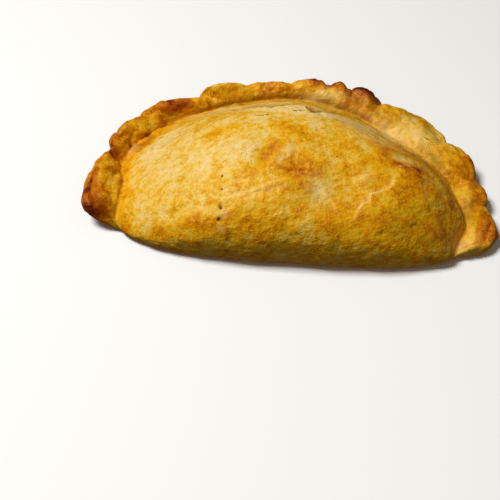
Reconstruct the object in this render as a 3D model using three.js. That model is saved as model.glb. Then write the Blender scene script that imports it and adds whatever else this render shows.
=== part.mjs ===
// Cheese and onion pie: a half-moon of folded pastry, uncut, with a pleated edge rolled up round its curve.
// Millimetres, +Z up. X runs from tip to tip, +Y towards the pleated edge, and the pie rests flat on Z = 0.
import * as THREE from 'three';

const { clamp, lerp, radToDeg, smoothstep } = THREE.MathUtils;
const QUARTER_TURN = Math.PI / 2;
const FULL_TURN = Math.PI * 2;
const FULL_CIRCLE = 360; // the same in degrees

// Driving dimensions
const HEIGHT = 45; // floor to the top of the dome
const MIDDLE_FROM_TIPS = 30; // the plan's middle lies this far behind the line between the tips

// The dome meets the pleated edge along a seam, which is an oval in plan
const SEAM = { right: 79, left: 85, back: 50, rightPower: 1.55, leftPower: 2.1 };
const SEAM_HEIGHT = { right: 10, left: 13, back: 22 };

// From the oval's ends to the tips the dome gets wider, tucks in again and its seam sinks, by these sines
const SEAM_FLARE = { right: 6, left: -4, range: [0, 0.29] };
const SEAM_TUCK = { right: 7, left: 0, range: [0.25, 0.5] };
const SEAM_DROP = { right: 6, left: 2, range: [0.1, 0.45] };

// The pleated edge ends in a rim, an oval too, and a squarer oval rounds it off in front of the tips
const RIM = { right: 97.5, left: 99.5, back: 65.5, rightPower: 2.25, leftPower: 2.0 };
const RIM_FRONT = { right: 50, left: 60, power: 4 };
const RIM_THICKNESS = 7;
const RIM_CLEARANCE = 0.5; // least height of the rim's underside above the floor
const RIM_ABOVE_SEAM = { right: -1, left: 2, back: 0 }; // before the edge is rolled up
const UNDERSIDE_CURVE = 1.5; // power by which the underside climbs from the base to the rim
const ROLL_HEIGHT = { right: 1.5, left: 6, back: 7.5 }; // how far the roll stands above the seam
const ROLL_CREST = 0.58; // where the roll is highest, from the seam at 0 to the rim at 1

// The folded side has no edge: it bulges over the base
const FOLD = { right: 97, left: 89, front: 52, power: 3.2 };
const BELLY_HEIGHT = { middle: 13, tips: 5, range: [0.45, 0.95] }; // sinks towards the tips, by sines
const BELLY_OUT = 2;
const BASE_IN = 4;

// Where the pleated edge runs out into the fold, in degrees about the plan's middle
const RIGHT_TIP = { full: -25, gone: -35 };
const LEFT_TIP = { full: 198, gone: 206 };
const FOLD_MIDDLE = 270;

// Pleats from the right tip to the left one: the angle where each starts, how deep the notch there cuts into
// the rim, how far the lobe after it reaches out again, where the lobe is widest, how far it stands up, and
// how far its top sinks at its notches
const PLEATS = [
  { start: -24, notch: 0.5, reach: 5.5, widest: 0.35, lift: 1.5, sink: 0.9 },
  { start: -5, notch: 2.0, reach: 2.5, widest: 0.35, lift: 0.6, sink: 0.4 },
  { start: 7, notch: 4.0, reach: 3.0, widest: 0.7, lift: 1.0, sink: 0.6 },
  { start: 24, notch: 4.5, reach: 5.5, widest: 0.7, lift: 0.6, sink: 0.4 },
  { start: 52, notch: 2.5, reach: 6.5, widest: 0.5, lift: 5.5, sink: 2.2 },
  { start: 66, notch: 0.5, reach: 3.0, widest: 0.5, lift: 3.5, sink: 1.2 },
  { start: 76, notch: 0, reach: 3.0, widest: 0.4, lift: 2.2, sink: 1.0 },
  { start: 97, notch: 0, reach: 1.2, widest: 0.5, lift: 0.5, sink: 0.3 },
  { start: 119, notch: -1.5, reach: 5.0, widest: 0.9, lift: 4.6, sink: 0.8 },
  { start: 137, notch: 4.5, reach: 8.0, widest: 0.78, lift: 3.5, sink: 2.1 },
  { start: 156, notch: 2.0, reach: 6.0, widest: 0.62, lift: 3.0, sink: 1.8 },
  { start: 173, notch: 5.5, reach: 6.0, widest: 0.45, lift: 3.0, sink: 1.8 },
  { start: 205, notch: 2.0, reach: 0, widest: 0.5, lift: 0, sink: 0 },
];
const LOBE_ROUNDNESS = 0.75;
const PLEAT_LEAN = 6; // degrees that a pleat's crease leans over from the seam to the rim
const PLEAT_RISE = [0.1, 0.65]; // shares of the way out from the seam between which a pleat stands up

// Superellipse powers of the dome's section, outwards and upwards
const DOME = {
  back: { out: 1.85, up: 0.92 },
  right: { out: 2.3, up: 1.5 },
  left: { out: 2.05, up: 1.05 },
  front: { out: 2.5, up: 2.1 },
  top: { out: 2.2, up: 1.4 },
};

// Shares of the way up between which the sides, and the hollow slope at the back, turn into the top
const FOOT_TO_TOP = [0.25, 0.9];
const BACK_TO_TOP = [0.6, 1];

// How one side turns into the next round the plan: by cosines from left to right, by sines from the ends to
// the back, and by powers of the sine to the back's heights and to the front
const LEFT_TO_RIGHT = [-0.7, 0.7];
const RIGHT_TO_BACK = [-0.3, 0.22];
const LEFT_TO_BACK = [-0.3, 0.3];
const BACK_EASE = { right: 1.4, left: 2.2 };
const FRONT_EASE = 1.5;

// Contours near the top of the dome are rounder in plan than its foot, but nowhere wider
const CROWN = { halfX: 87, halfY: 51, power: 2.1, spread: 4 };
const HIP_ROUNDING = 18; // degrees to both sides over which the hips below the tips are rounded off
const HIP_ROUNDED = 0.45; // the share of the way up the dome from which they are wholly round

// Along the back the dome's top sheet has come away from the pleated edge: beside the seam it ends in a
// raised ledge, between these turns in degrees and these shares of the way up the dome
const LEDGE = { rise: 1.6, turns: [35, 60, 138, 156], crest: 0.13, end: 0.42 };

// Shallow hollows (negative) and swellings of the dome: place, spread along X and Y, and depth
const DOME_SWELLS = [
  { x: 24, y: -5, alongX: 13, alongY: 15, depth: -3.0 },
  { x: 60, y: 16, alongX: 18, alongY: 16, depth: 3.5 },
  { x: 52, y: -4, alongX: 20, alongY: 14, depth: 1.5 },
  { x: -60, y: 14, alongX: 26, alongY: 24, depth: -1.0 },
];
const SWELL_START = 0.35; // the share of the way up the dome from which they have their full depth

// Facets
const AROUND = 160;
const BASE_STEPS = 2;
const UNDER_STEPS = 4;
const RIM_STEPS = 4;
const ROLL_STEPS = 7;
const DOME_STEPS = 16;
const EDGE_STEPS = UNDER_STEPS + RIM_STEPS + ROLL_STEPS;

const CRUST_COLOUR = 0xd39a35;

// Plan radius of an oval about the plan's middle
function ovalRadius(angle, halfX, halfY, power) {
  const x = Math.abs(Math.cos(angle)) / halfX;
  const y = Math.abs(Math.sin(angle)) / halfY;
  return (x ** power + y ** power) ** (-1 / power);
}

// 1 at the right end, 0 at the left
function rightShare(angle) {
  return smoothstep(Math.cos(angle), ...LEFT_TO_RIGHT);
}

// A value given at the right, the left and the back, eased between them round the plan
function around(angle, { right, left, back }) {
  const toRight = rightShare(angle);
  const toBack = Math.max(0, Math.sin(angle)) ** lerp(BACK_EASE.left, BACK_EASE.right, toRight);
  return lerp(lerp(left, right, toRight), back, toBack);
}

// Degrees from -90, at the middle of the folded side, round to 270
function turnInDegrees(angle) {
  const turn = radToDeg(angle);
  return turn > FOLD_MIDDLE ? turn - FULL_CIRCLE : turn;
}

// 1 along the pleated edge, 0 along the fold
function edgeShare(turn) {
  const right = smoothstep(turn, RIGHT_TIP.gone, RIGHT_TIP.full);
  const left = 1 - smoothstep(turn, LEFT_TIP.full, LEFT_TIP.gone);
  return right * left;
}

// How far the pleat at this turn stands out past the rim's oval and up from the roll
function pleatAt(turn) {
  const last = PLEATS.length - 1;
  const inside = clamp(turn, PLEATS[0].start, PLEATS[last].start);
  let index = last - 1;
  while (PLEATS[index].start > inside) index -= 1;
  const pleat = PLEATS[index];
  const next = PLEATS[index + 1];
  const share = (inside - pleat.start) / (next.start - pleat.start);
  const half = share < pleat.widest ? share / pleat.widest : (1 - share) / (1 - pleat.widest);
  const shape = Math.sin(half * QUARTER_TURN) ** LOBE_ROUNDNESS;
  return {
    out: pleat.reach * shape - lerp(pleat.notch, next.notch, share),
    up: pleat.lift * shape - pleat.sink,
  };
}

function seamRadius(angle) {
  const toRight = Math.cos(angle) > 0;
  const forward = -Math.sin(angle);
  const half = toRight ? SEAM.right : SEAM.left;
  const power = toRight ? SEAM.rightPower : SEAM.leftPower;
  if (forward <= 0) return ovalRadius(angle, half, SEAM.back, power);
  const flare = (toRight ? SEAM_FLARE.right : SEAM_FLARE.left) * smoothstep(forward, ...SEAM_FLARE.range);
  const tuck = (toRight ? SEAM_TUCK.right : SEAM_TUCK.left) * smoothstep(forward, ...SEAM_TUCK.range);
  return (half + flare - tuck) / Math.abs(Math.cos(angle));
}

function seamHeightAt(angle) {
  const drop = Math.cos(angle) > 0 ? SEAM_DROP.right : SEAM_DROP.left;
  return around(angle, SEAM_HEIGHT) - drop * smoothstep(-Math.sin(angle), ...SEAM_DROP.range);
}

function rimRadius(angle, turn) {
  const toRight = Math.cos(angle) > 0;
  const half = toRight ? RIM.right : RIM.left;
  const power = toRight ? RIM.rightPower : RIM.leftPower;
  const front = toRight ? RIM_FRONT.right : RIM_FRONT.left;
  const behind = Math.sin(angle) > 0;
  const smooth = ovalRadius(angle, half, behind ? RIM.back : front, behind ? power : RIM_FRONT.power);
  return smooth + pleatAt(turn).out;
}

function foldRadius(angle) {
  return ovalRadius(angle, Math.cos(angle) > 0 ? FOLD.right : FOLD.left, FOLD.front, FOLD.power);
}

// Height of the roll's top above the seam, from the seam (0) to the rim (1)
function rollHeight(angle, turn, across) {
  const up = pleatAt(turn + PLEAT_LEAN * (1 - across)).up * smoothstep(across, ...PLEAT_RISE);
  const climbing = across / ROLL_CREST;
  const falling = (across - ROLL_CREST) / (1 - ROLL_CREST);
  const hump = climbing < 1 ? Math.sin(climbing * QUARTER_TURN) : Math.cos(falling * QUARTER_TURN);
  return around(angle, RIM_ABOVE_SEAM) * across + hump * (around(angle, ROLL_HEIGHT) + up);
}

// The flat base, as [radius, height] from its middle to its edge
function baseSection(radius) {
  return Array.from({ length: BASE_STEPS + 1 }, (_, i) => [(radius * i) / BASE_STEPS, 0]);
}

// Section through the pleated edge, from the middle of the base round the rim to the seam
function edgeSection(angle, turn) {
  const seam = seamRadius(angle);
  const seamHeight = seamHeightAt(angle);
  const base = seam - BASE_IN;
  const lip = RIM_THICKNESS / 2;
  const rim = rimRadius(angle, turn) - lip;
  const rimHeight = Math.max(seamHeight + rollHeight(angle, turn, 1) - lip, lip + RIM_CLEARANCE);
  const points = baseSection(base);
  for (let i = 1; i <= UNDER_STEPS; i += 1) {
    const share = i / UNDER_STEPS;
    points.push([lerp(base, rim, share), (rimHeight - lip) * share ** UNDERSIDE_CURVE]);
  }
  for (let i = 1; i <= RIM_STEPS; i += 1) {
    const swing = (i / RIM_STEPS) * Math.PI - QUARTER_TURN;
    points.push([rim + lip * Math.cos(swing), rimHeight + lip * Math.sin(swing)]);
  }
  for (let i = 1; i <= ROLL_STEPS; i += 1) {
    const across = 1 - i / ROLL_STEPS;
    points.push([lerp(seam, rim, across), seamHeight + rollHeight(angle, turn, across)]);
  }
  return points;
}

// Section through the fold with as many points, from the middle of the base to the belly
function foldSection(angle) {
  const fold = foldRadius(angle);
  const base = fold - BASE_IN;
  const toMiddle = smoothstep(-Math.sin(angle), ...BELLY_HEIGHT.range);
  const belly = lerp(BELLY_HEIGHT.tips, BELLY_HEIGHT.middle, toMiddle);
  const points = baseSection(base);
  for (let i = 1; i <= EDGE_STEPS; i += 1) {
    const swing = (i / EDGE_STEPS) * QUARTER_TURN;
    const radius = lerp(base, fold + BELLY_OUT, Math.sin(swing));
    points.push([radius, belly * (1 - Math.cos(swing))]);
  }
  return points;
}

function ledgeRise(turn, climbed) {
  const [start, full, last, gone] = LEDGE.turns;
  const along = smoothstep(turn, start, full) * (1 - smoothstep(turn, last, gone));
  const across = smoothstep(climbed, 0, LEDGE.crest) * (1 - smoothstep(climbed, LEDGE.crest, LEDGE.end));
  return LEDGE.rise * along * across;
}

// Dome from just above its foot, at the seam or the belly, to its top
function domeSection(angle, [footRadius, footHeight]) {
  const sine = Math.sin(angle);
  const turn = turnInDegrees(angle);
  const toRight = rightShare(angle);
  const toBack = lerp(smoothstep(sine, ...LEFT_TO_BACK), smoothstep(sine, ...RIGHT_TO_BACK), toRight);
  const toFront = Math.max(0, -sine) ** FRONT_EASE;
  const power = (way, climbed) => {
    const end = lerp(DOME.left[way], DOME.right[way], toRight);
    const atFoot = lerp(lerp(end, DOME.back[way], toBack), DOME.front[way], toFront);
    const toTop = lerp(smoothstep(climbed, ...FOOT_TO_TOP), smoothstep(climbed, ...BACK_TO_TOP), toBack);
    return lerp(atFoot, DOME.top[way], toTop);
  };
  const crown = Math.min(ovalRadius(angle, CROWN.halfX, CROWN.halfY, CROWN.power), footRadius);
  const points = [];
  for (let i = 1; i <= DOME_STEPS; i += 1) {
    const climbed = i / DOME_STEPS;
    const swing = climbed * QUARTER_TURN;
    const out = climbed === 1 ? 0 : Math.cos(swing) ** (2 / power('out', climbed));
    const up = Math.sin(swing) ** (2 / power('up', climbed));
    const height = lerp(footHeight, HEIGHT, up) + ledgeRise(turn, climbed);
    points.push([out * lerp(crown, footRadius, out ** CROWN.spread), height]);
  }
  return points;
}

// Whole section at this angle: base, edge or fold, and dome
function section(angle) {
  const turn = turnInDegrees(angle);
  const share = edgeShare(turn);
  const fold = foldSection(angle);
  const lower = edgeSection(angle, turn).map(([radius, height], i) => [
    lerp(fold[i][0], radius, share),
    lerp(fold[i][1], height, share),
  ]);
  return [...lower, ...domeSection(angle, lower[lower.length - 1])];
}

// The share of the way up the dome at a point of a section, negative below the dome
function climbOf(index) {
  return (index - BASE_STEPS - EDGE_STEPS) / DOME_STEPS;
}

// Rounds off the hips that run up the dome from the tips, by the mean of the sections to both sides
function roundHips(sections) {
  const reach = Math.round((HIP_ROUNDING / FULL_CIRCLE) * AROUND);
  return sections.map((points, i) => points.map(([radius, height], j) => {
    const share = smoothstep(climbOf(j), 0, HIP_ROUNDED);
    let meanRadius = 0;
    let meanHeight = 0;
    for (let k = -reach; k <= reach; k += 1) {
      const near = sections[(i + k + AROUND) % AROUND][j];
      meanRadius += near[0] / (2 * reach + 1);
      meanHeight += near[1] / (2 * reach + 1);
    }
    return [lerp(radius, meanRadius, share), lerp(height, meanHeight, share)];
  }));
}

function swellAt(x, y, climbed) {
  let height = 0;
  for (const swell of DOME_SWELLS) {
    const awayX = (x - swell.x) / swell.alongX;
    const awayY = (y - swell.y) / swell.alongY;
    height += swell.depth * Math.exp(-awayX * awayX - awayY * awayY);
  }
  return height * smoothstep(climbed, 0, SWELL_START);
}

// A lathe gives the closed skin, and each of its sections is then moved to the pie's own
function makeCrust() {
  const angles = Array.from({ length: AROUND }, (_, i) => (i / AROUND) * FULL_TURN);
  const sections = roundHips(angles.map(section));
  const profile = sections[0].map(([radius, height]) => new THREE.Vector2(radius, height));
  const geometry = new THREE.LatheGeometry(profile, AROUND);
  const position = geometry.attributes.position;
  for (let i = 0; i <= AROUND; i += 1) {
    const angle = angles[i % AROUND];
    sections[i % AROUND].forEach(([radius, height], j) => {
      const x = radius * Math.cos(angle);
      const y = MIDDLE_FROM_TIPS + radius * Math.sin(angle);
      position.setXYZ(i * profile.length + j, x, y, height + swellAt(x, y, climbOf(j)));
    });
  }
  geometry.computeBoundingBox();
  const { min, max } = geometry.boundingBox;
  geometry.translate(-(min.x + max.x) / 2, -(min.y + max.y) / 2, 0);
  geometry.computeVertexNormals();
  return geometry;
}

const crust = new THREE.Mesh(
  makeCrust(),
  new THREE.MeshStandardMaterial({ color: CRUST_COLOUR, roughness: 0.5, metalness: 0 }),
);
crust.name = 'crust';

const pie = new THREE.Group();
pie.add(crust);

export default pie;
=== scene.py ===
"""Looks of a cheese and onion pie: a half-moon of folded pastry, pleated and browned round its edge."""

import math

import bpy
import numpy as np
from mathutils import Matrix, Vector, noise


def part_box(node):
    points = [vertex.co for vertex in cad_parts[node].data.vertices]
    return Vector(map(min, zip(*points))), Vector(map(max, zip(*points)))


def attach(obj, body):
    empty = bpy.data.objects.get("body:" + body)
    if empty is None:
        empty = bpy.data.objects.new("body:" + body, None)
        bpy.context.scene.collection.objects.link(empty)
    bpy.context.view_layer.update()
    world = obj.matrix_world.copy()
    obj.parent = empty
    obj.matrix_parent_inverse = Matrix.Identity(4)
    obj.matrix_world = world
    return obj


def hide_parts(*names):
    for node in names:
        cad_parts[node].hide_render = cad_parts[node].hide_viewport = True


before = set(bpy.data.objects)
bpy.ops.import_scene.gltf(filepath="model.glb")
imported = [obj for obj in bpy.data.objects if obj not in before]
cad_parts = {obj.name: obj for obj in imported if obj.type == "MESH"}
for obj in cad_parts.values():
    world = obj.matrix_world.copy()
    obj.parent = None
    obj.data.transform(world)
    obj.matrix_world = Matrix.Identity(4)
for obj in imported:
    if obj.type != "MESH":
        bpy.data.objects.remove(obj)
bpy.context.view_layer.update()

MM = 0.001

# Form of the pie, in millimetres: X from tip to tip, Y from the line between the tips to the pleated edge
HEIGHT = 45
MIDDLE_FROM_TIPS = 30

SEAM = dict(right=79, left=85, back=50, right_power=1.55, left_power=2.1)
SEAM_HEIGHT = dict(right=10, left=13, back=22)
SEAM_FLARE = dict(right=6, left=-4, span=(0, 0.29))
SEAM_TUCK = dict(right=7, left=0, span=(0.25, 0.5))
SEAM_DROP = dict(right=6, left=2, span=(0.1, 0.45))

RIM = dict(right=97.5, left=99.5, back=65.5, right_power=2.25, left_power=2.0)
RIM_FRONT = dict(right=50, left=60, power=4)
RIM_THICKNESS = 7
RIM_CLEARANCE = 0.5
RIM_ABOVE_SEAM = dict(right=-1, left=2, back=0)
UNDERSIDE_CURVE = 1.5
ROLL_HEIGHT = dict(right=1.5, left=6, back=7.5)
ROLL_CREST = 0.58

FOLD = dict(right=97, left=89, front=52, power=3.2)
BELLY_HEIGHT = dict(middle=13, tips=5, span=(0.45, 0.95))
BELLY_OUT = 2
BASE_IN = 4

# Degrees about the plan's middle between which the pleated edge runs out into the fold
RIGHT_TIP = (-35, -25)
LEFT_TIP = (198, 206)
FOLD_MIDDLE = 270

# Pleats from the right tip to the left one: start in degrees, notch, reach, where it is widest, lift, and
# sink at its notches
PLEATS = (
    (-24, 0.5, 5.5, 0.35, 1.5, 0.9),
    (-5, 2.0, 2.5, 0.35, 0.6, 0.4),
    (7, 4.0, 3.0, 0.7, 1.0, 0.6),
    (24, 4.5, 5.5, 0.7, 0.6, 0.4),
    (52, 2.5, 6.5, 0.5, 5.5, 2.2),
    (66, 0.5, 3.0, 0.5, 3.5, 1.2),
    (76, 0.0, 3.0, 0.4, 2.2, 1.0),
    (97, 0.0, 1.2, 0.5, 0.5, 0.3),
    (119, -1.5, 5.0, 0.9, 4.6, 0.8),
    (137, 4.5, 8.0, 0.78, 3.5, 2.1),
    (156, 2.0, 6.0, 0.62, 3.0, 1.8),
    (173, 5.5, 6.0, 0.45, 3.0, 1.8),
    (205, 2.0, 0.0, 0.5, 0.0, 0.0),
)
LOBE_ROUNDNESS = 0.75
PLEAT_LEAN = 6
PLEAT_RISE = (0.1, 0.65)

# Superellipse powers of the dome's section, outwards and upwards
DOME = dict(back=(1.85, 0.92), right=(2.3, 1.5), left=(2.05, 1.05), front=(2.5, 2.1), top=(2.2, 1.4))
FOOT_TO_TOP = (0.25, 0.9)
BACK_TO_TOP = (0.6, 1.0)
LEFT_TO_RIGHT = (-0.7, 0.7)
RIGHT_TO_BACK = (-0.3, 0.22)
LEFT_TO_BACK = (-0.3, 0.3)
BACK_EASE = dict(right=1.4, left=2.2)
FRONT_EASE = 1.5
CROWN = dict(half_x=87, half_y=51, power=2.1, spread=4)
HIP_ROUNDING = 18
HIP_ROUNDED = 0.45

# Raised edge of the dome's top sheet, beside the seam along the back
LEDGE = dict(rise=1.6, turns=(35, 60, 138, 156), crest=0.13, end=0.42)

# Hollows and swellings of the dome: place, spread along X and Y, depth
DOME_SWELLS = (
    (24, -5, 13, 15, -3.0),
    (60, 16, 18, 16, 3.5),
    (52, -4, 20, 14, 1.5),
    (-60, 14, 26, 24, -1.0),
)
SWELL_START = 0.35

# Facets of the solid, and of the crust that stands for it
SOLID_STEPS = dict(around=160, base=2, under=4, rim=4, roll=7, dome=16)
CRUST_STEPS = dict(around=640, base=3, under=12, rim=14, roll=34, dome=88)


def lerp(low, high, share):
    return low + (high - low) * share


def smoothstep(value, low, high):
    share = np.clip((value - low) / (high - low), 0, 1)
    return share * share * (3 - 2 * share)


def oval_radius(angle, half_x, half_y, power):
    x = np.abs(np.cos(angle)) / half_x
    y = np.abs(np.sin(angle)) / half_y
    return (x ** power + y ** power) ** (-1 / power)


def by_side(angle, sizes, name=""):
    """The right or the left value of a size, by the side on which an angle lies."""
    return np.where(np.cos(angle) > 0, sizes["right" + name], sizes["left" + name])


def right_share(angle):
    return smoothstep(np.cos(angle), *LEFT_TO_RIGHT)


def around(angle, right, left, back):
    """A value given at the right, the left and the back, eased between them round the plan."""
    to_right = right_share(angle)
    to_back = np.maximum(0, np.sin(angle)) ** lerp(BACK_EASE["left"], BACK_EASE["right"], to_right)
    return lerp(lerp(left, right, to_right), back, to_back)


def turn_of(angle):
    """Degrees from -90, at the middle of the fold, round to 270."""
    turn = np.degrees(angle)
    return np.where(turn > FOLD_MIDDLE, turn - 360, turn)


def edge_share(turn):
    """1 along the pleated edge, 0 along the fold."""
    return smoothstep(turn, *RIGHT_TIP) * (1 - smoothstep(turn, *LEFT_TIP))


def pleat_at(turn):
    """How far the pleat at this turn stands out past the rim's oval and up from the roll."""
    start, notch, reach, widest, lift, sink = np.array(PLEATS).T
    inside = np.clip(turn, start[0], start[-1])
    index = np.clip(np.searchsorted(start, inside, side="right") - 1, 0, len(start) - 2)
    share = (inside - start[index]) / (start[index + 1] - start[index])
    wide = widest[index]
    half = np.where(share < wide, share / wide, (1 - share) / (1 - wide))
    shape = np.sin(np.clip(half, 0, 1) * math.pi / 2) ** LOBE_ROUNDNESS
    out = reach[index] * shape - lerp(notch[index], notch[index + 1], share)
    return out, lift[index] * shape - sink[index]


def seam_radius(angle):
    half = by_side(angle, SEAM)
    forward = -np.sin(angle)
    flare = by_side(angle, SEAM_FLARE) * smoothstep(forward, *SEAM_FLARE["span"])
    tuck = by_side(angle, SEAM_TUCK) * smoothstep(forward, *SEAM_TUCK["span"])
    straight = (half + flare - tuck) / np.maximum(np.abs(np.cos(angle)), 1e-6)
    oval = oval_radius(angle, half, SEAM["back"], by_side(angle, SEAM, "_power"))
    return np.where(forward <= 0, oval, straight)


def seam_height(angle):
    drop = by_side(angle, SEAM_DROP) * smoothstep(-np.sin(angle), *SEAM_DROP["span"])
    return around(angle, **SEAM_HEIGHT) - drop


def rim_radius(angle, turn):
    half = by_side(angle, RIM)
    behind = oval_radius(angle, half, RIM["back"], by_side(angle, RIM, "_power"))
    before = oval_radius(angle, half, by_side(angle, RIM_FRONT), RIM_FRONT["power"])
    return np.where(np.sin(angle) > 0, behind, before) + pleat_at(turn)[0]


def roll_height(angle, turn, across):
    """Height of the roll's top above the seam, from the seam (0) to the rim (1)."""
    lift = pleat_at(turn + PLEAT_LEAN * (1 - across))[1] * smoothstep(across, *PLEAT_RISE)
    climbing = np.sin(np.clip(across / ROLL_CREST, 0, 1) * math.pi / 2)
    falling = np.cos(np.clip((across - ROLL_CREST) / (1 - ROLL_CREST), 0, 1) * math.pi / 2)
    hump = np.where(across < ROLL_CREST, climbing, falling)
    return around(angle, **RIM_ABOVE_SEAM) * across + hump * (around(angle, **ROLL_HEIGHT) + lift)


def shares(count):
    return np.arange(1, count + 1)[None] / count


def edge_section(angle, turn, steps):
    """Radii and heights from the middle of the base round the rim to the seam."""
    seam, height = seam_radius(angle), seam_height(angle)
    lip = RIM_THICKNESS / 2
    rim = rim_radius(angle, turn) - lip
    rim_height = np.maximum(height + roll_height(angle, turn, 1.0) - lip, lip + RIM_CLEARANCE)
    base = seam - BASE_IN
    under = shares(steps["under"])
    swing = shares(steps["rim"]) * math.pi - math.pi / 2
    across = 1 - shares(steps["roll"])
    radii = [base * 0, base * shares(steps["base"]), lerp(base, rim, under)]
    radii += [rim + lip * np.cos(swing), lerp(seam, rim, across)]
    heights = [base * 0, base * 0 * shares(steps["base"]), (rim_height - lip) * under ** UNDERSIDE_CURVE]
    heights += [rim_height + lip * np.sin(swing), height + roll_height(angle, turn, across)]
    return np.concatenate(radii, 1), np.concatenate(heights, 1)


def fold_section(angle, steps):
    """Radii and heights from the middle of the base to the belly, with as many points."""
    fold = oval_radius(angle, by_side(angle, FOLD), FOLD["front"], FOLD["power"])
    base = fold - BASE_IN
    swing = shares(steps["under"] + steps["rim"] + steps["roll"]) * math.pi / 2
    radii = [base * 0, base * shares(steps["base"]), lerp(base, fold + BELLY_OUT, np.sin(swing))]
    to_middle = smoothstep(-np.sin(angle), *BELLY_HEIGHT["span"])
    belly = lerp(BELLY_HEIGHT["tips"], BELLY_HEIGHT["middle"], to_middle)
    heights = [base * 0, base * 0 * shares(steps["base"]), belly * (1 - np.cos(swing))]
    return np.concatenate(radii, 1), np.concatenate(heights, 1)


def between(turn, turns):
    """1 from the second to the third of four turns, 0 outside the first and the last."""
    start, full, last, gone = turns
    return smoothstep(turn, start, full) * (1 - smoothstep(turn, last, gone))


def ledge_rise(turn, climbed):
    across = smoothstep(climbed, 0, LEDGE["crest"]) * (1 - smoothstep(climbed, LEDGE["crest"], LEDGE["end"]))
    return LEDGE["rise"] * between(turn, LEDGE["turns"]) * across


def dome_section(angle, foot_radius, foot_height, steps):
    """Radii and heights from just above the dome's foot to its top."""
    climbed = shares(steps["dome"])
    to_right = right_share(angle)
    back_on_left = smoothstep(np.sin(angle), *LEFT_TO_BACK)
    back_on_right = smoothstep(np.sin(angle), *RIGHT_TO_BACK)
    to_back = lerp(back_on_left, back_on_right, to_right)
    to_front = np.maximum(0, -np.sin(angle)) ** FRONT_EASE
    to_top = lerp(smoothstep(climbed, *FOOT_TO_TOP), smoothstep(climbed, *BACK_TO_TOP), to_back)

    def power(way):
        end = lerp(DOME["left"][way], DOME["right"][way], to_right)
        at_foot = lerp(lerp(end, DOME["back"][way], to_back), DOME["front"][way], to_front)
        return lerp(at_foot, DOME["top"][way], to_top)

    crown = np.minimum(oval_radius(angle, CROWN["half_x"], CROWN["half_y"], CROWN["power"]), foot_radius)
    out = np.where(climbed == 1, 0, np.cos(climbed * math.pi / 2).clip(0) ** (2 / power(0)))
    up = np.sin(climbed * math.pi / 2) ** (2 / power(1))
    radii = out * lerp(crown, foot_radius, out ** CROWN["spread"])
    return radii, lerp(foot_height, HEIGHT, up) + ledge_rise(turn_of(angle), climbed)


class Form:
    """The pie's skin as rings of places, one row for each angle and one column for each ring."""

    def __init__(self, steps):
        count = steps["around"]
        self.angle = np.arange(count)[:, None] / count * 2 * math.pi
        self.turn = turn_of(self.angle)
        self.edge = edge_share(self.turn)
        edge_radii, edge_heights = edge_section(self.angle, self.turn, steps)
        fold_radii, fold_heights = fold_section(self.angle, steps)
        radii = lerp(fold_radii, edge_radii, self.edge)
        heights = lerp(fold_heights, edge_heights, self.edge)
        dome_radii, dome_heights = dome_section(self.angle, radii[:, -1:], heights[:, -1:], steps)
        below = np.zeros((1, radii.shape[1]))
        self.climb = np.concatenate([below, shares(steps["dome"])], 1)
        self.across = self.ring_across(steps)
        radii = self.round_hips(np.concatenate([radii, dome_radii], 1))
        heights = self.round_hips(np.concatenate([heights, dome_heights], 1))
        x = radii * np.cos(self.angle)
        y = MIDDLE_FROM_TIPS + radii * np.sin(self.angle)
        self.places = np.stack([x, y, heights + self.swell(x, y)], 2)

    def ring_across(self, steps):
        """How far out each ring lies on the pleated edge: 0 at the seam and on the dome, 1 at the rim."""
        outside = np.ones((1, 1 + steps["base"] + steps["under"] + steps["rim"]))
        return np.concatenate([outside, 1 - shares(steps["roll"]), np.zeros((1, steps["dome"]))], 1)

    def round_hips(self, values):
        """The mean of the sections to both sides, where the dome has left its foot."""
        reach = round(HIP_ROUNDING / 360 * len(values))
        mean = np.mean([np.roll(values, k, 0) for k in range(-reach, reach + 1)], 0)
        return lerp(values, mean, smoothstep(self.climb, 0, HIP_ROUNDED))

    def swell(self, x, y):
        height = np.zeros_like(x)
        for place_x, place_y, along_x, along_y, depth in DOME_SWELLS:
            height += depth * np.exp(-((x - place_x) / along_x) ** 2 - ((y - place_y) / along_y) ** 2)
        return height * smoothstep(self.climb, 0, SWELL_START)

    def from_seam(self):
        """Distance of each place from the foot of the dome at its angle."""
        foot = self.places[:, np.count_nonzero(self.climb == 0) - 1]
        return np.linalg.norm(self.places - foot[:, None], axis=2)

    def fillet_seam(self, passes, step, full, reach):
        """Rounds the valley between the dome and the pleated edge, fully near the seam, out to a reach."""
        share = step * (self.edge * (1 - smoothstep(self.from_seam(), full, reach)))[:, :, None]
        for _ in range(passes):
            mean = (np.roll(self.places, 1, 1) + np.roll(self.places, -1, 1)) / 2
            self.places = lerp(self.places, mean, share)

    def normals(self):
        """Directions that point out of the skin, at each place."""
        along = np.roll(self.places, -1, 0) - np.roll(self.places, 1, 0)
        up = np.gradient(self.places, axis=1)
        out = np.cross(along, up)
        out[:, 0] = (0, 0, -1)
        out[:, -1] = (0, 0, 1)
        return out / np.maximum(np.linalg.norm(out, axis=2, keepdims=True), 1e-9)


# Relief of the crust, in millimetres: size of the bumps, how high they are, and the layers of noise in them
LUMPS = dict(size=17, amount=0.6, layers=1)
BLISTERS = dict(size=5.5, amount=0.34, layers=2)
ROLL_LUMPS = dict(size=7.0, amount=0.9, layers=1)
ROLL_KNOBS = dict(size=3.0, amount=0.34, layers=2)

# Each layer of noise is finer than the one before by the step, and fainter by the step to the fall's power
NOISE_STEP = 2.0
NOISE_FALL = 1.0

# Wrinkles run where this noise is near 0
WRINKLES = dict(size=3.0, amount=1.0, layers=2)
WRINKLE_LEVEL = 0.5
WRINKLE_HEIGHT = dict(dome=0.24, roll=0.3)

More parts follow.
